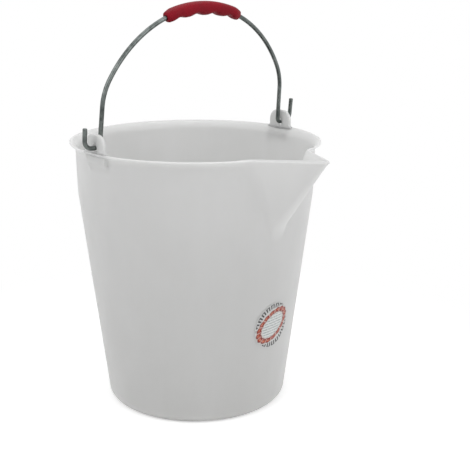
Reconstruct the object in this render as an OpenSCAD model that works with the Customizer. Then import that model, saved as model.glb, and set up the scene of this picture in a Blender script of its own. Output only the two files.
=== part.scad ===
// Fermenting bucket: a tapered plastic pail with a pouring spout, two ears, a wire bail and a hand grip.
// Origin at the centre of the foot ring, +Z up. The spout points along -Y and the ears stand on the X axis.

/* [Bucket] */
// Outer diameter of the flared lip
rim_d = 290; // [262:1:350]
// Height of the bucket, from the floor to the top of the lip
height = 311; // [250:1:380]
// Outer diameter of the base, before its corner is rounded
base_d = 213; // [170:1:214]
// How far the lip flares out beyond the neck
lip_flare = 6.6; // [5:0.1:9]
// Angle that the lip turns out by, from upright
lip_turn = 70; // [60:1:80]
// Height of the neck, the steeper band under the lip
neck_h = 48; // [36:1:60]
// How much wider the neck is at its top than at its bottom, on the radius
neck_draft = 1; // [0.5:0.1:2]
// Thickness of the wall
wall = 2.4; // [1.8:0.1:3]
// Thickness of the floor
floor_t = 3; // [2:0.1:4]
// Rounding of the outer corner at the base
base_round = 10; // [6:0.5:14]
// Width of the ring that the bucket stands on
foot_w = 7; // [5:0.5:10]
// How far the floor is raised above that ring
foot_h = 3; // [2:0.5:5]

/* [Spout] */
// How far the spout reaches out beyond the lip
spout_reach = 60; // [40:1:65]
// How far the spout's tip rises above the lip
spout_rise = 3; // [0:0.5:6]
// Half of the width of the spout's mouth, where it leaves the lip
spout_half = 48; // [38:1:52]
// Depth below the lip at which the spout's keel meets the wall
spout_drop = 88; // [70:1:100]
// Outer radius of the spout's tip and corners
spout_round = 5; // [4.5:0.5:7]
// Outer radius of the spout's keel at its foot
keel_round = 12; // [8:1:16]

/* [Ears] */
// Width of an ear
ear_w = 34; // [28:1:40]
// Height of an ear above the lip
ear_h = 20.5; // [18:0.5:24]
// Rounding of an ear's two upper corners
ear_round = 12.5; // [9:0.5:14]
// Thickness of an ear
ear_t = 3.6; // [3:0.1:4]
// How far an ear's gusset runs down the wall below the lip's flare
ear_root = 9; // [6:1:16]
// Diameter of the hole in an ear
ear_hole_d = 7.2; // [7:0.1:8]
// Height of that hole, which is the bail's pivot, above the lip
pivot_h = 5.6; // [5:0.1:7]
// Width of the chamfer round that hole, on the inside face
ear_sink = 1.2; // [0.8:0.1:1.6]

/* [Bail] */
// Diameter of the bail's wire
wire_d = 5; // [4:0.1:5.2]
// Gap between a leg of the bail and the ear beside it
leg_gap = 1; // [0.8:0.1:1.5]
// How far each leg leans in, in degrees
leg_lean = 2.5; // [1:0.5:4]
// Length of the straight leg, from the pivot to the shoulder
leg_l = 43; // [35:1:55]
// Radius of the shoulder bend
shoulder_r = 62; // [50:1:70]
// Heading at which the shoulder passes into the crown, in degrees from upright
crown_start = 30; // [25:1:35]
// Radius of the bend where a leg turns out through its ear
foot_bend = 5.5; // [5:0.1:6]
// Radius of the bend where the wire turns up outside the ear
hook_bend = 9; // [6:0.1:10]
// Reach of each hook, from the leg to the upturned end: +X end, then -X end
hook_reach = [21, 19.5]; // [17:1:26]
// Height of each upturned end above the pivot: +X end, then -X end
hook_h = [28, 22.5]; // [18:0.5:34]
// Angle that the bail stands at, from upright towards the spout
bail_lean = 5.7; // [0:0.1:12]

/* [Grip] */
// Length of the grip along the wire
grip_l = 109; // [95:1:130]
// Thickness of the grip outside the wire's centre line
grip_back = 7; // [5.5:0.1:7.5]
// Thickness of the grip inside the wire's centre line, at its middle ridge
grip_belly = 8.3; // [7.5:0.1:11]
// Width of the grip
grip_w = 17; // [15:1:22]
// Distance from one ridge between the fingers to the next, along the wire
finger_pitch = 26; // [22:1:28]
// Depth of the finger hollows
finger_depth = 2.3; // [1:0.1:2.5]
// How much thinner the inner side gets from the middle to the ends
end_taper = 2.3; // [0:0.1:2.5]
// Gap between the grip's channel and the wire
grip_gap = 0.1; // [0.05:0.05:0.3]

/* [Label] */
// Diameter of the round label
label_d = 56; // [35:1:60]
// Height of the label's centre above the floor
label_z = 111; // [80:1:160]
// How far round from the spout the label sits, in degrees
label_turn = 5; // [-30:1:30]
// Thickness of the label
label_t = 0.3; // [0.2:0.1:0.5]
// Gap between the label and the wall
label_gap = 0.05; // [0.02:0.01:0.1]

/* [Hidden] */
$fn = 96;

EPS = 0.01;
WIRE_FN = 24;
WIRE_LAP = 0.3;
WIRE_STEP = 0.02;

// Lip, neck and wall. A point of the profile is [radius, height].
rim_r = rim_d / 2;
base_r = base_d / 2;
neck_r = rim_r - lip_flare;
knee_r = neck_r - neck_draft;
lip_bend = lip_flare / (1 - cos(lip_turn)) - wall / 2;
lip_edge = [neck_r + lip_bend - (lip_bend + wall / 2) * cos(lip_turn), height - wall / 2];
lip_z = lip_edge[1] - (lip_bend + wall / 2) * sin(lip_turn);
knee_z = lip_z - neck_h;
taper = atan((knee_r - base_r) / knee_z);
wall_x = wall / cos(taper);

// Bail, drawn in its own plane: x along the pivot, y up from it.
wire_r = wire_d / 2;
pivot_z = height + pivot_h;
ear_in = rim_r - 6;
leg_x = ear_in - leg_gap - wire_r;
shoulder = [leg_x - leg_l * sin(leg_lean), leg_l * cos(leg_lean)];
crown_x = shoulder[0] - shoulder_r * (cos(leg_lean) - cos(crown_start));
crown_r = crown_x / cos(crown_start);
crown_y = shoulder[1] + shoulder_r * (sin(crown_start) - sin(leg_lean)) - crown_r * sin(crown_start);
foot_run = foot_bend / tan((90 + leg_lean) / 2);

// Grip, as angles along the crown
grip_half = grip_l / 2 / crown_r * 180 / PI;

function wall_r(z) = z < knee_z
    ? base_r + (knee_r - base_r) * z / knee_z
    : knee_r + neck_draft * (z - knee_z) / neck_h;

// Points of an arc about c, from angle a to angle b
function arc(c, r, a, b, n) =
    [for (i = [0:n]) let (t = a + (b - a) * i / n) c + r * [cos(t), sin(t)]];

// Corner between the floor and the wall, rounded to r, where the wall's line is inset by dx
function corner(r, z, dx) =
    arc([base_r + (z + r) * tan(taper) - dx - r / cos(taper), z + r], r, -90, -taper, 10);

function lip_arc(r) = arc([neck_r + lip_bend, lip_z], r, 180, 180 - lip_turn, 10);

// Outer skin, closed to the axis
module outer_skin() {
    flat_r = base_r + base_round * (tan(taper) - 1 / cos(taper));
    rotate_extrude()
        polygon(concat(
            [[0, foot_h], [flat_r - foot_w - foot_h, foot_h], [flat_r - foot_w, 0]],
            corner(base_round, 0, 0),
            [[knee_r, knee_z]],
            lip_arc(lip_bend),
            arc(lip_edge, wall / 2, -lip_turn, 180 - lip_turn, 8),
            [[0, height]]
        ));
}

// Everything inside the wall, open at the top
module cavity() {
    top_r = lip_arc(lip_bend + wall)[10][0];
    top_z = height + spout_rise + EPS;
    rotate_extrude()
        polygon(concat(
            [[0, foot_h + floor_t]],
            corner(base_round - wall, foot_h + floor_t, wall_x),
            [[knee_r - wall, knee_z]],
            lip_arc(lip_bend + wall),
            [[top_r, top_z], [0, top_z]]
        ));
}

// The spout as one convex body, taken in by inset, and with its top raised by rise
module spout_body(inset, rise) {
    round_r = spout_round - inset;
    lip_h = 5;
    tip_y = rim_r + spout_reach - spout_round;
    side_x = spout_half - spout_round;
    side_y = sqrt(pow(neck_r, 2) - pow(side_x, 2)) - spout_round;
    keel_z = height - spout_drop;
    hull() {
        translate([0, -tip_y, height + spout_rise - lip_h])
            cylinder(r = round_r, h = lip_h + rise, $fn = 32);
        for (s = [-1, 1])
            translate([s * side_x, -side_y, height - lip_h])
                cylinder(r = round_r, h = lip_h + rise, $fn = 32);
        translate([0, -(wall_r(keel_z) - keel_round), keel_z])
            sphere(r = keel_round - inset, $fn = 32);
    }
}

// Outline of an ear, seen along X, from z_low up
module ear_outline(z_low) {
    side_h = height + ear_h - ear_round - z_low;
    flat_w = ear_w - 2 * ear_round;
    translate([-ear_w / 2, z_low]) square([ear_w, side_h]);
    translate([-flat_w / 2, z_low]) square([flat_w, side_h + ear_round]);
    for (s = [-1, 1])
        translate([s * flat_w / 2, z_low + side_h]) circle(ear_round);
}

// The gusset under each ear, from the neck out to the ear's outside face
module ear_roots() {
    deep = neck_r - 2 * wall;
    for (s = [0, 1])
        mirror([s, 0, 0]) rotate([90, 0, 0])
            linear_extrude(ear_w, center = true)
                polygon([
                    [deep, lip_z - ear_root], [knee_r, lip_z - ear_root], [ear_in + ear_t, lip_z],
                    [ear_in + ear_t, height - wall], [deep, height - wall]
                ]);
}

module ear_plates() {
    for (x = [ear_in, -ear_in - ear_t])
        translate([x, 0, 0]) rotate([90, 0, 90]) linear_extrude(ear_t) ear_outline(lip_z);
}

module ear_holes() {
    translate([0, 0, pivot_z])
        rotate([0, 90, 0]) cylinder(d = ear_hole_d, h = 2 * rim_d, center = true);
    for (s = [-1, 1])
        translate([s * (ear_in - EPS), 0, pivot_z])
            rotate([0, s * 90, 0])
                cylinder(r1 = ear_hole_d / 2 + ear_sink, r2 = ear_hole_d / 2, h = ear_sink);
}

module bucket() {
    color("gainsboro") difference() {
        union() {
            difference() {
                union() {
                    outer_skin();
                    spout_body(0, 0);
                    ear_roots();
                }
                cavity();
                spout_body(wall, 1);
            }
            ear_plates();
        }
        ear_holes();
    }
}

// An arc of wire in the bail's plane, from angle a to angle b
module wire_arc(c, r, a, b, section_r = wire_r) {
    translate(c) rotate(a) rotate_extrude(angle = b - a)
        translate([r, 0]) circle(section_r, $fn = WIRE_FN);
}

// A bend between two stretches. It runs a little way into both, and is a hair thinner,
// so that each stretch's end face closes round it.
module wire_bend(c, r, a, b) {
    lap = WIRE_LAP / r * 180 / PI;
    wire_arc(c, r, a - lap, b + lap, wire_r - WIRE_STEP);
}

// A straight stretch of wire in the bail's plane
module wire_line(p, q) {
    d = q - p;
    translate(p) rotate([90, 0, atan2(d[1], d[0]) + 90])
        cylinder(r = wire_r, h = norm(d), $fn = WIRE_FN);
}

// One leg, its hook and its shoulder, on the +x side
module bail_side(reach, end_h) {
    end_x = leg_x + reach;
    wire_bend(shoulder - shoulder_r * [cos(leg_lean), sin(leg_lean)], shoulder_r, leg_lean, crown_start);
    wire_line([leg_x, 0] + foot_run * [-sin(leg_lean), cos(leg_lean)], shoulder);
    wire_bend([leg_x + foot_run, foot_bend], foot_bend, 180 + leg_lean, 270);
    wire_line([leg_x + foot_run, 0], [end_x - hook_bend, 0]);
    wire_bend([end_x - hook_bend, hook_bend], hook_bend, 270, 360);
    wire_line([end_x, hook_bend], [end_x, end_h]);
}

// Stands what is drawn in the bail's plane up on the pivot
module in_bail_plane() {
    translate([0, 0, pivot_z]) rotate([90 + bail_lean, 0, 0]) children();
}

module bail_wire() {
    color("slategray") in_bail_plane() {
        wire_arc([0, crown_y], crown_r, crown_start, 180 - crown_start);
        bail_side(hook_reach[0], hook_h[0]);
        mirror([1, 0]) bail_side(hook_reach[1], hook_h[1]);
    }
}

// How deep the grip's inner side lies at share s of its length, from -1 to 1:
// a ridge in the middle and at every pitch from it, with a finger hollow between each two
function belly(s) =
    grip_belly - end_taper * pow(s, 2)
    - finger_depth * pow(sin(s * grip_l / 2 / finger_pitch * 180), 2);

// Side view of the grip in the bail's plane
module grip_side() {
    steps = 60;
    polygon(concat(
        [for (i = [0:steps]) let (s = 1 - 2 * i / steps, t = 90 - s * grip_half)
            [0, crown_y] + (crown_r - belly(s)) * [cos(t), sin(t)]],
        [for (i = [0:steps]) let (s = -1 + 2 * i / steps, t = 90 - s * grip_half)
            [0, crown_y] + (crown_r + grip_back) * [cos(t), sin(t)]]
    ));
}

// Cross-section of the grip, as [distance from the crown's centre, across the plane]
module grip_section() {
    points = 48;
    squareness = 0.8;
    function side(x) = sign(x) * pow(abs(x), squareness);
    polygon([for (i = [0:points - 1]) let (t = 360 * i / points, c = side(cos(t)))
        [crown_r + (c > 0 ? grip_back : grip_belly) * c, grip_w / 2 * side(sin(t))]]);
}

module hand_grip() {
    color("firebrick") in_bail_plane() difference() {
        intersection() {
            translate([0, crown_y])
                rotate(90 - grip_half) rotate_extrude(angle = 2 * grip_half) grip_section();
            linear_extrude(2 * grip_w, center = true) grip_side();
        }
        translate([0, crown_y])
            rotate(90 - grip_half - 1)
                rotate_extrude(angle = 2 * grip_half + 2)
                    translate([crown_r, 0]) circle(wire_r + grip_gap);
    }
}

// A cone parallel to the wall, lifted off it by lift
module wall_cone(lift) {
    lift_x = lift / cos(taper);
    cylinder(r1 = base_r + lift_x, r2 = knee_r + lift_x, h = knee_z);
}

module label() {
    color("whitesmoke") intersection() {
        difference() {
            wall_cone(label_gap + label_t);
            wall_cone(label_gap);
        }
        rotate(label_turn) translate([0, 0, label_z])
            rotate([90 + taper, 0, 0]) cylinder(d = label_d, h = rim_d);
    }
}

bucket();
bail_wire();
hand_grip();
label();
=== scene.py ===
import math

import bmesh
import bpy
import numpy as np
from mathutils import Matrix, Vector


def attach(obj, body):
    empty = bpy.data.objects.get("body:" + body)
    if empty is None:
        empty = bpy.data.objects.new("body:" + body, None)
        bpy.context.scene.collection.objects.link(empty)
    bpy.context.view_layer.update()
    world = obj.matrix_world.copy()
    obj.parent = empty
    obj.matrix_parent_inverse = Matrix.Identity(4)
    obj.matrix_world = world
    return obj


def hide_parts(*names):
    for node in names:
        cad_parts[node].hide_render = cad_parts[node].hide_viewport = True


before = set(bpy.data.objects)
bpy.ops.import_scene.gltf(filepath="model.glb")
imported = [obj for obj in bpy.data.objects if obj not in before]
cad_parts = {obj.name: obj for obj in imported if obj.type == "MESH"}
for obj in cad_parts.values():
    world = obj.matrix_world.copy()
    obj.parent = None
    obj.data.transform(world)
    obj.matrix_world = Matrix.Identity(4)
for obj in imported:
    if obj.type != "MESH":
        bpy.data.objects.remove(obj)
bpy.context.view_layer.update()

MM = 0.001

# ---------------------------------------------------------------- sizes, in mm, as the CAD model has them
# the wall, the lip and the foot
RIM_R = 145.0
HEIGHT = 311.0
BASE_R = 106.5
FLARE = 6.6
TURN = math.radians(70)
NECK_H = 48.0
DRAFT = 1.0
WALL = 2.4
FLOOR_T = 3.0
BASE_ROUND = 10.0
FOOT_W = 7.0
FOOT_H = 3.0

NECK_R = RIM_R - FLARE
KNEE_R = NECK_R - DRAFT
BEND = FLARE / (1 - math.cos(TURN)) - WALL / 2
EDGE_R = NECK_R + BEND - (BEND + WALL / 2) * math.cos(TURN)
EDGE_Z = HEIGHT - WALL / 2
LIP_Z = EDGE_Z - (BEND + WALL / 2) * math.sin(TURN)
KNEE_Z = LIP_Z - NECK_H
TAPER = math.atan((KNEE_R - BASE_R) / KNEE_Z)
WALL_X = WALL / math.cos(TAPER)
FLOOR_Z = FOOT_H + FLOOR_T

# the spout
REACH = 60.0
RISE = 3.0
SPOUT_HALF = 48.0
SPOUT_DROP = 88.0
SPOUT_R = 5.0
KEEL_R = 12.0
KEEL_Z = HEIGHT - SPOUT_DROP

# the ears
EAR_W = 34.0
EAR_H = 20.5
EAR_ROUND = 12.5
EAR_ROOT = 9.0
EAR_T = 3.6
EAR_IN = RIM_R - 6.0
HOLE_R = 3.6
PIVOT_H = 5.6
PIVOT_Z = HEIGHT + PIVOT_H

# the bail, in its own plane: x along the pivot, y up from it
WIRE_R = 2.5
LEG_GAP = 1.0
LEG_X = EAR_IN - LEG_GAP - WIRE_R
LEG_LEAN = math.radians(2.5)
LEG_L = 43.0
SHOULDER_R = 62.0
CROWN_START = math.radians(30)
FOOT_BEND = 5.5
HOOK_BEND = 9.0
HOOK_REACH = (21.0, 19.5)
HOOK_H = (28.0, 22.5)
BAIL_LEAN = math.radians(5.7)
SHOULDER = (LEG_X - LEG_L * math.sin(LEG_LEAN), LEG_L * math.cos(LEG_LEAN))
SHOULDER_C = (
    SHOULDER[0] - SHOULDER_R * math.cos(LEG_LEAN),
    SHOULDER[1] - SHOULDER_R * math.sin(LEG_LEAN),
)
CROWN_R = (SHOULDER_C[0] + SHOULDER_R * math.cos(CROWN_START)) / math.cos(CROWN_START)
CROWN_Y = SHOULDER_C[1] + (SHOULDER_R - CROWN_R) * math.sin(CROWN_START)

# the grip, along the wire and round it
GRIP_L = 109.0
GRIP_BACK = 7.0
GRIP_BELLY = 8.3
GRIP_W = 17.0
FINGER_PITCH = 26.0
FINGER_DEPTH = 2.3
END_TAPER = 2.3
HALF_LEN = GRIP_L / 2
GRIP_HALF = HALF_LEN / CROWN_R

# the label
LABEL_R = 28.0
LABEL_Z = 111.0
LABEL_TURN = math.radians(5)

# ---------------------------------------------------------------- sizes of the visible shapes alone, in mm
# how softly one surface passes into the next
KNEE_EASE = 0.35
SPOUT_EASE = 9.0
GUSSET_EASE = 1.5

# radii of the rings that the underside and the floor share
DISC_R = (14.0, 30.0, 50.0, 66.0)

# the spout's sections: how far the tip stays inside its full reach, the height where the keel gets there,
# and how far the sections draw back into the wall below the keel, as a share of their way out
TIP_INSET = 1.2
KEEL_TOP = HEIGHT + RISE - 5.0
KEEL_BACK = -0.6
# the directions that the spout's outline covers, and a radius past everything for a flank that misses
SPOUT_SPAN = math.radians(80)
FAR = 400.0
# the top rises from this distance from the axis out to the tip, within these directions and heights
RISE_FROM = 131.5
RISE_SPAN = math.radians(60)
RISE_HEIGHTS = (HEIGHT - 75, HEIGHT - 9)
# share of the lip's flare that is left on the spout, and the directions between which it returns
SPOUT_FLARE = 0.20
FLARE_BACK = (math.radians(15.5), math.radians(25.5))

# an ear: rounding of its edges, the fillets at its two feet, the depths below the lip's top that a foot
# spans, and how far above the flare's start its underside is hidden in the lip
EAR_EDGE = 0.9
EAR_FILLET = 4.0
EAR_FOOT = (2.2, 0.6)
EAR_UNDER = 5.0
EAR_POINTS = 128
# the gusset stands this proud of its ear, fades out over this distance from the ear's middle, and starts
# between these heights
GUSSET_PROUD = 0.3
GUSSET_SIDE = (EAR_W / 2 - 1.0, EAR_W / 2 + 2.5)
GUSSET_FOOT = (LIP_Z - EAR_ROOT - 2.0, LIP_Z - EAR_ROOT + 3.0)

WIRE_POINTS = 24
# a sheared end: how far in from it, and how much thinner the wire is there
SHEAR = ((0.0, 0.75), (0.25, 0.22), (0.8, 0.0))

GRIP_RINGS = 150
GRIP_POINTS = 48
GRIP_HOLE = WIRE_R + 0.12
# roundness of its outline: 1 is an ellipse, and less is squarer
GRIP_SQUARE = 0.82
# its ends thin out over this length, by this much at the back, the belly and each side
GRIP_END_L = 11.0
GRIP_END_CUT = (1.3, 0.2, 2.6)
# each end is rounded over this much, its outline starts this far in, and its channel's mouth is this deep
GRIP_END_ROUND = 2.4
GRIP_END_CAP = 3.2
GRIP_MOUTH = 4.5

LABEL_GAP = 0.09
LABEL_T = 0.16
LABEL_RINGS = 14
LABEL_POINTS = 96


# ---------------------------------------------------------------- curves and grids
def smooth(e0, e1, x):
    """0 up to e0, 1 from e1 on, and an even S between them."""
    t = np.clip((x - e0) / (e1 - e0), 0.0, 1.0)
    return t * t * (3 - 2 * t)


def smooth_max(a, b, k):
    """The larger of two values, blended where they differ by less than k."""
    h = np.maximum(k - np.abs(a - b), 0.0) / k
    return np.maximum(a, b) + h * h * k / 4


def arc_pts(cx, cy, r, a0, a1, n):
    """n points of an arc about (cx, cy), from angle a0 to angle a1."""
    return [(cx + r * math.cos(a), cy + r * math.sin(a)) for a in np.linspace(a0, a1, n)]


def turns(n):
    """n even directions round a full turn."""
    return [2 * math.pi * i / n for i in range(n)]


def grid_faces(rings, n, first=0, closed=False):
    """Quads between neighbouring rings of n points; closed joins the last ring to the first."""
    faces = []
    for i in range(rings if closed else rings - 1):
        here = first + i * n
        there = first + (i + 1) % rings * n
        for j in range(n):
            k = (j + 1) % n
            faces.append((here + j, here + k, there + k, there + j))
    return faces


def fan_faces(centre, first, n):
    """Triangles from one point to the ring of n points that starts at first."""
    return [(centre, first + j, first + (j + 1) % n) for j in range(n)]


def new_object(name, pts, faces, smooth_deg):
    """A smooth-shaded mesh object, sharp where its faces meet at more than smooth_deg."""
    me = bpy.data.meshes.new(name)
    me.from_pydata([tuple(p) for p in pts], [], faces)
    me.validate()
    bm = bmesh.new()
    bm.from_mesh(me)
    bmesh.ops.recalc_face_normals(bm, faces=bm.faces)
    bm.to_mesh(me)
    bm.free()
    for p in me.polygons:
        p.use_smooth = True
    me.set_sharp_from_angle(angle=math.radians(smooth_deg))
    ob = bpy.data.objects.new(name, me)
    bpy.context.scene.collection.objects.link(ob)
    return ob


# ---------------------------------------------------------------- the pail
def wall_r(z):
    """Outer radius of the wall at height z, with the knee slightly eased."""
    z = np.asarray(z, float)
    lower = BASE_R + (KNEE_R - BASE_R) * z / KNEE_Z
    upper = KNEE_R + DRAFT * (z - KNEE_Z) / NECK_H
    return -smooth_max(-lower, -upper, KNEE_EASE)


def spout_r(phi, z, inset):
    """Radius of the spout's outline in direction phi from the spout's own, at height z, taken in by inset."""
    share = np.clip((z - KEEL_Z) / (KEEL_TOP - KEEL_Z), KEEL_BACK, 1.0)
    keel_c = float(wall_r(KEEL_Z)) - KEEL_R
    tip_top = RIM_R + REACH - SPOUT_R - TIP_INSET
    tip_c = keel_c + (tip_top - keel_c) * share
    r = KEEL_R + (SPOUT_R - KEEL_R) * np.clip(share, 0, 1) - inset
    # every section's flank runs the same way, and (nx, ny) stands square to it
    side_x = SPOUT_HALF - SPOUT_R
    side_y = math.sqrt(NECK_R**2 - side_x**2) - SPOUT_R
    run = math.hypot(side_x, side_y - tip_top)
    nx, ny = (tip_top - side_y) / run, side_x / run
    s, c = np.sin(np.abs(phi)), np.cos(phi)
    flank = (ny * tip_c + r) / np.maximum(nx * s + ny * c, 0.05)
    tip = tip_c * c + np.sqrt(np.maximum(r * r - (tip_c * s) ** 2, 0.0))
    tangent = np.arctan2(r * nx, tip_c + r * ny)
    out = np.where(np.abs(phi) < tangent, tip, flank)
    return np.where(np.abs(phi) < SPOUT_SPAN, np.minimum(out, FAR), 0.0)


def outline(phi, z, inset):
    """Radius of the wall and spout together at height z, without the lip's flare."""
    wall = wall_r(z) - inset / math.cos(TAPER)
    return smooth_max(wall, spout_r(phi, z, inset), SPOUT_EASE)


def gusset(phi, z, r):
    """r, pushed out where the gusset under an ear stands proud of it."""
    turn = np.minimum(np.abs(np.abs(phi) - math.pi / 2), 1.0)
    out = EAR_IN + EAR_T + GUSSET_PROUD - KNEE_R
    face = (KNEE_R + out * smooth(LIP_Z - EAR_ROOT, LIP_Z, z)) / np.cos(turn)
    near = (1 - smooth(*GUSSET_SIDE, face * np.sin(turn))) * smooth(*GUSSET_FOOT, z)
    return r + near * (smooth_max(r, face, GUSSET_EASE) - r)


def column_step(deg):
    """Degrees to the grid's next column: finest at the spout's tip, then on its flanks and at the ears."""
    if deg < 2.4:
        return 0.2
    if deg < 6:
        return 0.45
    if deg < 30:
        return 0.75
    if 82 < deg < 98:
        return 0.8
    return 1.5


def columns():
    """Directions of the grid's columns, measured from the spout's."""
    degrees = [0.0]
    while degrees[-1] < 180.0:
        degrees.append(min(degrees[-1] + column_step(degrees[-1]), 180.0))
    half = np.radians(np.array(degrees))
    return np.concatenate([half, -half[-2:0:-1]])


def foot_rows():
    """Rows (radius, height) from the middle of the underside over the foot ring to the wall's foot."""
    flat_r = BASE_R + BASE_ROUND * (math.tan(TAPER) - 1 / math.cos(TAPER))
    step_r = flat_r - FOOT_W - FOOT_H
    rows = [(r, FOOT_H) for r in (*DISC_R, 76.0)]
    # the slope from the underside down to the ring, with both its corners softened
    rows += [(step_r - 1.0, FOOT_H), (step_r + 0.2, FOOT_H - 0.35)]
    rows += [(step_r + FOOT_H - 0.6, 0.55), (step_r + FOOT_H + 0.4, 0.05), (step_r + FOOT_H + 1.2, 0.0)]
    rows += [(flat_r - 3.0, 0.0)]
    return rows + arc_pts(flat_r, BASE_ROUND, BASE_ROUND, -math.pi / 2, -TAPER, 12)


def floor_rows():
    """Rows (radius, height) from the wall's inner foot to the middle of the floor."""
    r = BASE_ROUND - WALL
    centre = BASE_R + (FLOOR_Z + r) * math.tan(TAPER) - WALL_X - r / math.cos(TAPER)
    rows = arc_pts(centre, FLOOR_Z + r, r, -TAPER, -math.pi / 2, 10)
    return rows + [(x, FLOOR_Z) for x in (centre - 4, 80.0, *DISC_R[::-1])]


def wall_heights(foot_z):
    """Heights of the wall's rows, closer together round the spout's keel, the knee and the lip."""
    below_keel = np.linspace(foot_z + 5, KEEL_Z - 24, 30)
    spout = np.linspace(KEEL_Z - 20, KNEE_Z - 3, 16)
    knee = np.linspace(KNEE_Z - 2, KNEE_Z + 2, 5)
    neck = np.linspace(KNEE_Z + 6, LIP_Z - 3, 9)
    return [*below_keel, *spout, *knee, *neck]


def wall_rows(foot_z):
    """Rows (share of the way through the wall, flare, height): up outside, over the lip and down inside."""
    heights = wall_heights(foot_z)
    rows = [(0.0, 0.0, z) for z in heights]
    for t in np.linspace(0, TURN, 10):
        rows.append((0.0, BEND * (1 - math.cos(t)), LIP_Z + BEND * math.sin(t)))
    for t in np.linspace(-TURN, math.pi - TURN, 9)[1:-1]:
        share = (TURN + t) / math.pi
        r = EDGE_R + WALL / 2 * math.cos(t)
        rows.append((share, r - NECK_R + share * WALL_X, EDGE_Z + WALL / 2 * math.sin(t)))
    inner = BEND + WALL
    for t in np.linspace(TURN, 0, 10):
        rows.append((1.0, inner * (1 - math.cos(t)), LIP_Z + inner * math.sin(t)))
    return rows + [(1.0, 0.0, z) for z in heights[::-1] if z > FLOOR_Z + BASE_ROUND]


def bucket_mesh():
    """The pail without its ears, as one closed skin of rows from the underside to the floor inside."""
    phi = columns()
    x, y = np.sin(phi), -np.cos(phi)

    def plain(r, z):
        return np.stack([r * x, r * y, np.full_like(phi, z)], 1)

    along = outline(phi, np.full_like(phi, HEIGHT - 1.0), 0.0) * np.cos(phi)
    rise = RISE * np.clip((along - RISE_FROM) / (RIM_R + REACH - RISE_FROM), 0, 1)
    rise = np.where(np.abs(phi) < RISE_SPAN, rise, 0)
    flare_left = SPOUT_FLARE + (1 - SPOUT_FLARE) * smooth(*FLARE_BACK, np.abs(phi))

    def wall(share, flare, z):
        level = np.full_like(phi, z)
        r = outline(phi, level, 0.0) * (1 - share) + outline(phi, level, WALL) * share + flare * flare_left
        if share == 0:
            r = gusset(phi, z, r)
        return np.stack([r * x, r * y, z + rise * smooth(*RISE_HEIGHTS, z)], 1)

    foot = foot_rows()
    rows = [plain(r, z) for r, z in foot]
    rows += [wall(*row) for row in wall_rows(foot[-1][1])]
    rows += [plain(r, z) for r, z in floor_rows()]
    n = len(phi)
    pts = [*(np.concatenate(rows) * MM), (0, 0, FOOT_H * MM), (0, 0, FLOOR_Z * MM)]
    under, floor = len(pts) - 2, len(pts) - 1
    faces = grid_faces(len(rows), n) + fan_faces(under, 0, n) + fan_faces(floor, (len(rows) - 1) * n, n)
    return pts, faces


def in_ear(y, z):
    """Whether a point, taken from the pivot, is in an ear's outline: a tab whose feet run into the lip."""
    half = EAR_W / 2
    flat_half = half - EAR_ROUND
    top = HEIGHT + EAR_H - PIVOT_Z
    corner_z = top - EAR_ROUND
    foot_low, foot_high = (HEIGHT - depth - PIVOT_Z for depth in EAR_FOOT)
    y = abs(y)
    if z >= corner_z:
        return z < top if y < flat_half else (y - flat_half) ** 2 + (z - corner_z) ** 2 < EAR_ROUND**2
    if y < half:
        return z > LIP_Z + EAR_UNDER - PIVOT_Z
    above = foot_high + EAR_FILLET - z
    if z < foot_low or above < 0:
        return False
    if z > foot_high:
        return y < half + EAR_FILLET - math.sqrt(max(EAR_FILLET**2 - above**2, 0))
    return y < half + EAR_FILLET


def ear_reach(a):
    """Distance from the pivot to the ear's outline in direction a, by halving."""
    low, high = 0.0, 60.0
    for _ in range(40):
        middle = (low + high) / 2
        if in_ear(middle * math.cos(a), middle * math.sin(a)):
            low = middle
        else:
            high = middle
    return low


def ear_rings():
    """An ear's rings (what is measured, its value, depth), from the hole over front, rim and back."""
    half = EAR_T / 2
    round_in = EAR_EDGE * 0.29
    spread = (0.3, 0.6, 0.88)
    rings = [("hole", 0.0, EAR_EDGE - half), ("hole", 0.0, half - EAR_EDGE)]
    rings += [("hole", 0.25, half - 0.3), ("hole", EAR_EDGE, half)]
    rings += [("face", t, half) for t in spread]
    rings += [("rim", EAR_EDGE, half), ("rim", round_in, half - round_in), ("rim", 0.0, half - EAR_EDGE)]
    rings += [("rim", 0.0, EAR_EDGE - half), ("rim", round_in, round_in - half), ("rim", EAR_EDGE, -half)]
    rings += [("face", t, -half) for t in spread[::-1]]
    return rings + [("hole", EAR_EDGE, -half), ("hole", 0.25, 0.3 - half)]


def ear_mesh(side):
    """One ear: a rounded tab with a rimmed hole, its foot sunk in the lip, as rings round the hole."""
    dirs = turns(EAR_POINTS)
    reach = [ear_reach(a) for a in dirs]
    inner = HOLE_R + EAR_EDGE
    rings = ear_rings()
    pts = []
    for kind, value, depth in rings:
        x = side * (EAR_IN + EAR_T / 2 + depth)
        for a, out in zip(dirs, reach, strict=True):
            if kind == "hole":
                r = HOLE_R + value
            elif kind == "rim":
                r = out - value
            else:
                r = inner + (out - EAR_EDGE - inner) * value
            pts.append((x * MM, r * math.cos(a) * MM, (PIVOT_Z + r * math.sin(a)) * MM))
    return pts, grid_faces(len(rings), EAR_POINTS, closed=True)


# ---------------------------------------------------------------- the bail and its grip
def plane_to_world(x, y, off=0.0):
    """A point of the bail's plane in the part's frame, in metres; off is across the plane, to the spout."""
    c, s = math.cos(BAIL_LEAN), math.sin(BAIL_LEAN)
    return Vector((x * MM, (-y * s - off * c) * MM, (PIVOT_Z + y * c - off * s) * MM))


def crown_point(t, r, off):
    """t: angle from the crown's middle, positive towards +X; r: radius from the crown's centre."""
    return plane_to_world(r * math.sin(t), CROWN_Y + r * math.cos(t), off)


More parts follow.
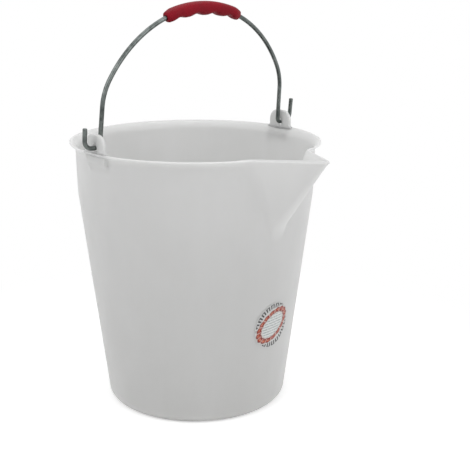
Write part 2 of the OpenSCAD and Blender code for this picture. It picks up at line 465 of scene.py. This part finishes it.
def bail_side(reach, end_h):
    """Centre line of one side of the bail, from its hook's tip to where the crown starts."""
    end_x = LEG_X + reach
    foot_run = FOOT_BEND / math.tan((math.pi / 2 + LEG_LEAN) / 2)
    pts = [(end_x, y) for y in np.linspace(end_h, HOOK_BEND + 0.5, 6)]
    pts += arc_pts(end_x - HOOK_BEND, HOOK_BEND, HOOK_BEND, 0, -math.pi / 2, 12)
    pts += arc_pts(LEG_X + foot_run, FOOT_BEND, FOOT_BEND, 1.5 * math.pi, math.pi + LEG_LEAN, 12)
    x, y = LEG_X - foot_run * math.sin(LEG_LEAN), foot_run * math.cos(LEG_LEAN)
    pts += [(x + (SHOULDER[0] - x) * t, y + (SHOULDER[1] - y) * t) for t in np.linspace(0.1, 1, 8)]
    return pts + arc_pts(*SHOULDER_C, SHOULDER_R, LEG_LEAN, CROWN_START, 14)[1:]


def bail_path():
    """Centre line of the wire from the -X hook's tip to the +X hook's tip, without points that coincide."""
    right = bail_side(HOOK_REACH[0], HOOK_H[0])
    left = [(-x, y) for x, y in bail_side(HOOK_REACH[1], HOOK_H[1])]
    crown = arc_pts(0, CROWN_Y, CROWN_R, math.pi - CROWN_START, CROWN_START, 61)[1:-1]
    path = []
    for p in map(np.array, left + crown + right[::-1]):
        if not path or np.linalg.norm(p - path[-1]) > 0.4:
            path.append(p)
    return path


def wire_mesh():
    """The bent wire, as rings along its path, with both ends sheared."""
    path = bail_path()
    last = len(path) - 1
    rings = []
    for i, p in enumerate(path):
        chord = path[min(i + 1, last)] - path[max(i - 1, 0)]
        rings.append((p, chord / np.linalg.norm(chord), WIRE_R))
    start, start_dir, _ = rings[0]
    end, end_dir, _ = rings[-1]
    head = [(start + start_dir * run, start_dir, WIRE_R - cut) for run, cut in SHEAR]
    tail = [(end - end_dir * run, end_dir, WIRE_R - cut) for run, cut in SHEAR[::-1]]
    rings = head + rings[1:-1] + tail
    pts = []
    for p, d, r in rings:
        across = np.array([-d[1], d[0]])
        for t in turns(WIRE_POINTS):
            x, y = p + across * r * math.cos(t)
            pts.append(plane_to_world(x, y, r * math.sin(t)))
    faces = grid_faces(len(rings), WIRE_POINTS)
    faces.append(tuple(range(WIRE_POINTS - 1, -1, -1)))
    faces.append(tuple(range(len(pts) - WIRE_POINTS, len(pts))))
    return pts, faces


def belly(s):
    """Depth of the grip's inner side below the wire's centre line at share s of its half length."""
    hollow = abs(math.sin(s * HALF_LEN / FINGER_PITCH * math.pi)) ** 3
    return GRIP_BELLY - END_TAPER * s * s - FINGER_DEPTH * hollow


def grip_ring(s, shrink):
    """Outline of the grip at share s of its half length, taken in by shrink: a rounded oblong."""
    end = float(smooth(1 - GRIP_END_L / HALF_LEN, 1.0, abs(s)))
    back_cut, belly_cut, side_cut = (cut * end + shrink for cut in GRIP_END_CUT)
    up = GRIP_BACK - back_cut
    down = belly(s) - belly_cut
    wide = GRIP_W / 2 - side_cut
    ring = []
    for a in turns(GRIP_POINTS):
        out = math.copysign(abs(math.cos(a)) ** GRIP_SQUARE, math.cos(a))
        across = math.copysign(abs(math.sin(a)) ** GRIP_SQUARE, math.sin(a))
        ring.append(crown_point(s * GRIP_HALF, CROWN_R + (up if out > 0 else down) * out, wide * across))
    return ring


def channel_ring(s, r):
    """Circle of radius r round the wire at share s of the grip's half length."""
    angles = turns(GRIP_POINTS)
    return [crown_point(s * GRIP_HALF, CROWN_R + r * math.cos(a), r * math.sin(a)) for a in angles]


def grip_mesh():
    """The grip: its outside from end to end, then back along the channel that the wire fills."""
    mouth = GRIP_MOUTH / HALF_LEN
    left = [channel_ring(mouth - 1, GRIP_HOLE), channel_ring(0.006 - 1, GRIP_HOLE + 0.15)]
    left += [channel_ring(-1.0, GRIP_HOLE + 0.5)]
    right = [channel_ring(1 - 0.006, GRIP_HOLE + 0.15), channel_ring(1.0, GRIP_HOLE + 0.5)]
    for a in np.radians(np.linspace(0, 90, 7)):
        at = 1.0 - GRIP_END_ROUND / HALF_LEN * (1 - math.cos(a))
        shrink = GRIP_END_ROUND * (1 - math.sin(a))
        left.append(grip_ring(-at, shrink))
        right.append(grip_ring(at, shrink))
    inner = 1 - GRIP_END_CAP / HALF_LEN
    middle = [grip_ring(s, 0.0) for s in np.linspace(-inner, inner, GRIP_RINGS)]
    channel = [channel_ring(s, GRIP_HOLE) for s in np.linspace(1 - mouth, mouth - 1, 40)[:-1]]
    rings = left + middle + right[::-1] + channel
    pts = [p for ring in rings for p in ring]
    return pts, grid_faces(len(rings), GRIP_POINTS, closed=True)


# ---------------------------------------------------------------- the label
def label_point(u, v, off):
    """Where a point of the flat label lies, in metres, off mm outside the wall."""
    z = LABEL_Z + v * math.cos(TAPER)
    r = BASE_R + z * math.tan(TAPER) + off / math.cos(TAPER)
    a = LABEL_TURN - math.pi / 2 + u / r
    return (r * math.cos(a) * MM, r * math.sin(a) * MM, z * MM)


def label_mesh():
    """A thin disc of film that follows the wall, with flat coordinates kept as UVs."""
    flat = [(0.0, 0.0)]
    for i in range(1, LABEL_RINGS + 1):
        flat += [(i / LABEL_RINGS * math.cos(t), i / LABEL_RINGS * math.sin(t)) for t in turns(LABEL_POINTS)]
    pts, faces, rims = [], [], []
    for off in (LABEL_GAP, LABEL_GAP + LABEL_T):
        centre = len(pts)
        pts += [label_point(u * LABEL_R, v * LABEL_R, off) for u, v in flat]
        faces += fan_faces(centre, centre + 1, LABEL_POINTS)
        faces += grid_faces(LABEL_RINGS, LABEL_POINTS, first=centre + 1)
        rims.append(len(pts) - LABEL_POINTS)
    back, front = rims
    for j in range(LABEL_POINTS):
        k = (j + 1) % LABEL_POINTS
        faces.append((back + j, back + k, front + k, front + j))
    ob = new_object("film_label", pts, faces, smooth_deg=60)
    layer = ob.data.uv_layers.new(name="flat")
    for loop in ob.data.loops:
        layer.data[loop.index].uv = flat[loop.vertex_index % len(flat)]
    return ob


# ---------------------------------------------------------------- materials
class Nodes:
    """Short helpers for building a node tree."""

    def __init__(self, owner, output):
        owner.use_nodes = True
        self.tree = owner.node_tree
        self.tree.nodes.clear()
        self.surface = self.add(output).inputs["Surface"]

    def add(self, kind, **props):
        node = self.tree.nodes.new(kind)
        for k, v in props.items():
            setattr(node, k, v)
        return node

    def link(self, a, b):
        self.tree.links.new(a, b)

    def feed(self, socket, value):
        """Link a socket to what drives it, or set it to a number or a colour."""
        if isinstance(value, (int, float)):
            socket.default_value = value
        elif isinstance(value, tuple):
            socket.default_value = (*value, 1.0)
        else:
            self.link(value, socket)

    def coords(self):
        return self.add("ShaderNodeTexCoord").outputs["Object"]

    def scaled(self, src, scale):
        node = self.add("ShaderNodeMapping")
        node.inputs["Scale"].default_value = scale
        self.link(src, node.inputs["Vector"])
        return node.outputs["Vector"]

    def noise(self, src, scale=1.0, detail=3.0, rough=0.5, distortion=0.0):
        node = self.add("ShaderNodeTexNoise")
        values = {"Scale": scale, "Detail": detail, "Roughness": rough, "Distortion": distortion}
        for key, value in {**values, "Vector": src}.items():
            self.feed(node.inputs[key], value)
        return node.outputs["Fac"]

    def math(self, op, a, b=None):
        node = self.add("ShaderNodeMath", operation=op)
        self.feed(node.inputs[0], a)
        if b is not None:
            self.feed(node.inputs[1], b)
        return node.outputs[0]

    def product(self, first, *rest):
        for factor in rest:
            first = self.math("MULTIPLY", first, factor)
        return first

    def larger(self, a, b):
        return self.math("MAXIMUM", a, b)

    def length(self, x, y):
        return self.math("SQRT", self.math("ADD", self.product(x, x), self.product(y, y)))

    def remap(self, src, from_min, from_max, to_min, to_max, kind="LINEAR"):
        node = self.add("ShaderNodeMapRange", interpolation_type=kind)
        values = {"From Min": from_min, "From Max": from_max, "To Min": to_min, "To Max": to_max}
        for key, value in {**values, "Value": src}.items():
            self.feed(node.inputs[key], value)
        return node.outputs["Result"]

    def ease(self, src, from_min, from_max, to_min=0.0, to_max=1.0):
        """remap with a smooth step between the two ends."""
        return self.remap(src, from_min, from_max, to_min, to_max, "SMOOTHSTEP")

    def mix(self, fac, a, b, blend="MIX"):
        node = self.add("ShaderNodeMix", data_type="RGBA", blend_type=blend)
        # of a mix node's sockets these are the share and the two colours, and output 2 is the colour
        for key, value in ((0, fac), (6, a), (7, b)):
            self.feed(node.inputs[key], value)
        return node.outputs[2]

    def bump(self, height, strength, distance, normal=None):
        node = self.add("ShaderNodeBump")
        for key, value in {"Strength": strength, "Distance": distance, "Height": height}.items():
            self.feed(node.inputs[key], value)
        if normal is not None:
            self.link(normal, node.inputs["Normal"])
        return node.outputs["Normal"]

    def separate(self, src):
        node = self.add("ShaderNodeSeparateXYZ")
        self.link(src, node.inputs[0])
        return node.outputs[0], node.outputs[1], node.outputs[2]

    def seen(self):
        """1 for what is seen, directly, mirrored or through something, and 0 for light that only falls."""
        paths = self.add("ShaderNodeLightPath")
        see = self.larger(paths.outputs["Is Camera Ray"], paths.outputs["Is Glossy Ray"])
        return self.larger(see, paths.outputs["Is Transmission Ray"])

    def principled(self, color, roughness, normal):
        """The surface: a Principled shader, handed back for its other inputs."""
        bsdf = self.add("ShaderNodeBsdfPrincipled")
        for key, src in {"Base Color": color, "Roughness": roughness, "Normal": normal}.items():
            self.link(src, bsdf.inputs[key])
        self.link(bsdf.outputs[0], self.surface)
        return bsdf


def material(name):
    """A new material and the helpers for its node tree."""
    mat = bpy.data.materials.new(name)
    return mat, Nodes(mat, "ShaderNodeOutputMaterial")


def plastic_material():
    """Milky plastic: light scatters through the wall, and the skin is faintly streaked and scuffed."""
    mat, m = material("natural_polyethylene")
    co = m.coords()
    _, _, z = m.separate(co)
    cloud = m.noise(m.scaled(co, (1, 1, 0.8)), scale=9.0, rough=0.55)
    flow = m.noise(m.scaled(co, (22, 22, 2.2)), detail=4.0, rough=0.6, distortion=0.3)
    scuff = m.noise(m.scaled(co, (30, 30, 10)), detail=6.0, rough=0.72, distortion=0.8)
    grain = m.noise(co, scale=900.0, detail=2.0)
    # painted shade: the colour is a little darker towards the base
    painted_shade_by_height = m.mix(m.remap(z, 0.0, 0.30, 0.0, 1.0), (0.575, 0.575, 0.567), (0.60, 0.602, 0.60))
    tint = m.mix(m.ease(cloud, 0.35, 0.65), (0.965, 0.965, 0.965), (1.0, 1.0, 1.0))
    streak = m.mix(m.ease(flow, 0.42, 0.62), (0.985, 0.985, 0.983), (1.0, 1.0, 1.0))
    color = m.mix(1.0, m.mix(1.0, painted_shade_by_height, tint, "MULTIPLY"), streak, "MULTIPLY")
    skin = m.bump(grain, 0.12, 0.00012, m.bump(flow, 0.10, 0.0012))
    bsdf = m.principled(color, m.remap(scuff, 0.35, 0.7, 0.30, 0.48), skin)
    bsdf.inputs["IOR"].default_value = 1.45
    bsdf.inputs["Specular IOR Level"].default_value = 0.35
    bsdf.inputs["Subsurface Weight"].default_value = 1.0
    bsdf.inputs["Subsurface Radius"].default_value = (1.0, 1.0, 0.98)
    bsdf.inputs["Subsurface Scale"].default_value = 0.015
    return mat


def wire_material():
    """Dull zinc plating, blotched, with paler spangles."""
    mat, m = material("zinc_plated_wire")
    co = m.coords()
    blotch = m.noise(co, scale=160.0, detail=4.0, rough=0.6)
    fine = m.noise(m.scaled(co, (900, 900, 900)), rough=0.6)
    spangle = m.noise(co, scale=45.0, rough=0.55)
    color = m.mix(m.remap(blotch, 0.35, 0.68, 0.0, 1.0), (0.075, 0.085, 0.082), (0.17, 0.19, 0.183))
    color = m.mix(m.ease(spangle, 0.45, 0.75, to_max=0.6), color, (0.27, 0.29, 0.28))
    bsdf = m.principled(color, m.remap(blotch, 0.3, 0.7, 0.26, 0.42), m.bump(fine, 0.25, 0.00006))
    bsdf.inputs["Metallic"].default_value = 1.0
    return mat


def grip_material():
    """Crimson plastic, mottled, a little paler where hands have worn it."""
    mat, m = material("crimson_plastic")
    co = m.coords()
    mottle = m.noise(co, scale=55.0, detail=4.0, rough=0.6, distortion=0.4)
    fine = m.noise(co, scale=1400.0, detail=2.0)
    wear = m.noise(co, scale=20.0, detail=5.0, rough=0.65)
    red = (0.245, 0.0045, 0.014)
    color = m.mix(m.ease(mottle, 0.38, 0.62), tuple(c * 0.86 for c in red), red)
    color = m.mix(m.ease(wear, 0.55, 0.75, to_max=0.35), color, (0.33, 0.016, 0.028))
    bsdf = m.principled(color, m.remap(mottle, 0.3, 0.7, 0.42, 0.58), m.bump(fine, 0.2, 0.0001))
    bsdf.inputs["Specular IOR Level"].default_value = 0.12
    return mat


def band(m, x, low, high, soft):
    """1 between low and high, fading to 0 over soft on either side of both."""
    return m.product(m.ease(x, low - soft, low + soft), m.ease(x, high - soft, high + soft, 1.0, 0.0))


def stripes(m, angle, count, share, soft):
    """Even stripes along an angle: 1 over that share of each of count steps."""
    step = m.math("FRACT", m.product(angle, count / (2 * math.pi)))
    off = m.math("ABSOLUTE", m.math("SUBTRACT", step, 0.5))
    return m.ease(off, share / 2 - soft, share / 2 + soft, 1.0, 0.0)


def petal_ring(m, color, oval, turn, blots):
    """color with a ring of petals over it: cream between them, a dark rim and a paler heart on each."""
    count = 16
    cream, orange = (0.60, 0.43, 0.36), (0.62, 0.20, 0.09)
    red, dark = (0.27, 0.012, 0.010), (0.09, 0.008, 0.008)
    wave = m.math("ADD", oval, m.product(m.math("COSINE", m.product(turn, float(count))), 0.028))
    petals = stripes(m, turn, count, 0.86, 0.10)
    heart = m.product(band(m, wave, 0.785, 0.875, 0.016), stripes(m, turn, count, 0.50, 0.10))
    rim = m.larger(band(m, wave, 0.695, 0.74, 0.010), band(m, wave, 0.92, 0.96, 0.010))
    color = m.mix(band(m, oval, 0.685, 0.965, 0.012), color, cream)
    color = m.mix(m.product(band(m, wave, 0.70, 0.95, 0.012), petals), color, red)
    color = m.mix(m.product(rim, petals, 0.75), color, dark)
    return m.mix(m.product(heart, m.ease(blots, 0.40, 0.60, 0.25, 0.9)), color, orange)


def outer_strokes(m, color, u, v, oval):
    """color with plain strokes outside the ring, on its two long sides."""
    r = m.length(u, v)
    angle = m.math("ARCTAN2", v, u)
    bars = m.product(band(m, r, 0.76, 0.955, 0.012), stripes(m, angle, 40, 0.52, 0.09))
    caps = m.product(band(m, r, 0.92, 0.955, 0.012), stripes(m, angle, 20, 0.62, 0.05))
    return m.mix(m.product(m.larger(bars, caps), m.ease(oval, 1.0, 1.04)), color, (0.025, 0.022, 0.022))


def middle_bars(m, color, v, oval, patches):
    """color with plain grey bars over the middle, broken into runs."""
    step = m.math("FRACT", m.product(m.math("ADD", v, 1.0), 8.5))
    rows = m.ease(m.math("ABSOLUTE", m.math("SUBTRACT", step, 0.5)), 0.18, 0.30, 1.0, 0.0)
    inside = m.ease(oval, 0.60, 0.64, 1.0, 0.0)
    runs = m.ease(patches, 0.40, 0.52, 0.35, 1.0)
    color = m.mix(inside, color, (0.66, 0.68, 0.67))
    return m.mix(m.product(rows, inside, runs, 0.75), color, (0.25, 0.28, 0.29))


def label_material():
    """Printed film: an oval ring, tilted up to the right, with strokes outside it and bars inside."""
    mat, m = material("printed_film")
    flat = m.add("ShaderNodeUVMap", uv_map="flat").outputs[0]
    u, v, _ = m.separate(flat)
    tilt, squash = math.radians(29), 1.5
    along = m.math("ADD", m.product(u, math.cos(tilt)), m.product(v, math.sin(tilt)))
    across = m.math("ADD", m.product(v, squash * math.cos(tilt)), m.product(u, -squash * math.sin(tilt)))
    oval = m.length(along, across)
    turn = m.math("ARCTAN2", across, along)
    paper = (0.56, 0.56, 0.555)
    color = petal_ring(m, paper, oval, turn, m.noise(m.scaled(flat, (5.0, 5.0, 1.0)), detail=2.0))
    color = outer_strokes(m, color, u, v, oval)
    color = middle_bars(m, color, v, oval, m.noise(m.scaled(flat, (9.0, 8.5, 1.0)), detail=1.0))
    worn = m.noise(m.coords(), scale=420.0, rough=0.6)
    color = m.mix(m.remap(worn, 0.5, 0.8, 0.0, 0.25), color, paper)
    bsdf = m.principled(color, m.remap(worn, 0.3, 0.7, 0.24, 0.34), m.bump(worn, 0.1, 0.00005))
    bsdf.inputs["Specular IOR Level"].default_value = 0.4
    return mat


# ---------------------------------------------------------------- pieces
plastic = plastic_material()
pail = new_object("pail_shell", *bucket_mesh(), smooth_deg=50)
pail.data.materials.append(plastic)
for side, tag in ((1, "right"), (-1, "left")):
    e = new_object("pail_ear_" + tag, *ear_mesh(side), smooth_deg=45)
    e.data.materials.append(plastic)
    e.parent = pail
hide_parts("bucket")
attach(pail, "pail")

wire = new_object("bail_wire_bent", *wire_mesh(), smooth_deg=40)
wire.data.materials.append(wire_material())
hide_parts("bail_wire")
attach(wire, "bail")

grip = new_object("finger_grip", *grip_mesh(), smooth_deg=40)
grip.data.materials.append(grip_material())
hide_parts("hand_grip")
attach(grip, "bail")

label = label_mesh()
label.data.materials.append(label_material())
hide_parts("label")
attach(label, "pail")


# ---------------------------------------------------------------- stage, light and camera, in metres
FLOOR_HALF = 6.0
FLOOR_GLOW = 0.42
FADE_FROM, FADE_TO = 0.16, 0.50
SKY_LIGHT = 0.62

CAM = Vector((-0.7142, -0.8242, 0.4977))
FWD = Vector((0.6612, 0.7007, -0.2680)).normalized()
ROLL = math.radians(0.35)
LEVEL = FWD.cross(Vector((0, 0, 1))).normalized()
RIGHT = LEVEL * math.cos(ROLL) + LEVEL.cross(FWD) * math.sin(ROLL)
SENSOR_MM = 36.0
LENS_MM = 72.48


def stage_material():
    """Pale near the object, where its shadow shows, and as white as the backdrop further out."""
    mat, m = material("stage_white")
    see = m.seen()
    diffuse = m.add("ShaderNodeBsdfDiffuse")
    diffuse.inputs["Color"].default_value = (0.82, 0.82, 0.82, 1)
    glow = m.add("ShaderNodeEmission")
    m.link(m.product(see, FLOOR_GLOW), glow.inputs["Strength"])
    near = m.add("ShaderNodeAddShader")
    m.link(diffuse.outputs[0], near.inputs[0])
    m.link(glow.outputs[0], near.inputs[1])
    far = m.add("ShaderNodeEmission")
    x, y, _ = m.separate(m.coords())
    both = m.add("ShaderNodeMixShader")
    m.link(m.product(m.ease(m.length(x, y), FADE_FROM, FADE_TO), see), both.inputs[0])
    m.link(near.outputs[0], both.inputs[1])
    m.link(far.outputs[0], both.inputs[2])
    m.link(both.outputs[0], m.surface)
    return mat


def make_floor():
    """A plain square floor."""
    s = FLOOR_HALF
    me = bpy.data.meshes.new("floor")
    me.from_pydata([(-s, -s, 0), (s, -s, 0), (s, s, 0), (-s, s, 0)], [], [(0, 1, 2, 3)])
    me.materials.append(stage_material())
    ob = bpy.data.objects.new("floor", me)
    bpy.context.scene.collection.objects.link(ob)
    return ob


def make_world():
    """White where it is seen, and a softer light where it only falls on things."""
    world = bpy.data.worlds.new("studio")
    bpy.context.scene.world = world
    m = Nodes(world, "ShaderNodeOutputWorld")
    sky = m.add("ShaderNodeBackground")
    sky.inputs["Color"].default_value = (1, 1, 1, 1)
    m.link(m.remap(m.seen(), 0.0, 1.0, SKY_LIGHT, 1.0), sky.inputs["Strength"])
    m.link(sky.outputs[0], m.surface)


def area(name, where, size, power):
    """A square area light that faces the middle of the pail."""
    light = bpy.data.lights.new(name, "AREA")
    light.size = size
    light.energy = power
    ob = bpy.data.objects.new(name, light)
    ob.location = where
    ob.rotation_euler = (Vector((0, 0, 0.2)) - where).to_track_quat("-Z", "Y").to_euler()
    bpy.context.scene.collection.objects.link(ob)


def make_lights():
    """A key and a fill light on either side of the camera, and one overhead."""
    ahead = Vector((FWD.x, FWD.y, 0)).normalized()
    right = Vector((RIGHT.x, RIGHT.y, 0)).normalized()
    area("key", Vector((0, 0, 1.5)) - ahead * 1.3 - right * 1.3, 1.4, 12)
    area("fill", Vector((0, 0, 1.1)) - ahead * 1.2 + right * 1.7, 1.6, 13)
    area("top", Vector((0.1, 0.1, 2.2)), 1.6, 9)


def make_camera():
    """The camera at CAM, looking along FWD and rolled about it by ROLL."""
    data = bpy.data.cameras.new("camera")
    data.sensor_width = SENSOR_MM
    data.lens = LENS_MM
    data.clip_start = 0.05
    data.clip_end = 30
    ob = bpy.data.objects.new("camera", data)
    rotation = Matrix((RIGHT, RIGHT.cross(FWD), -FWD)).transposed()
    ob.matrix_world = Matrix.Translation(CAM) @ rotation.to_4x4()
    bpy.context.scene.collection.objects.link(ob)
    bpy.context.scene.camera = ob


floor = make_floor()
make_world()
make_lights()
make_camera()
bpy.context.scene.view_settings.view_transform = "Standard"
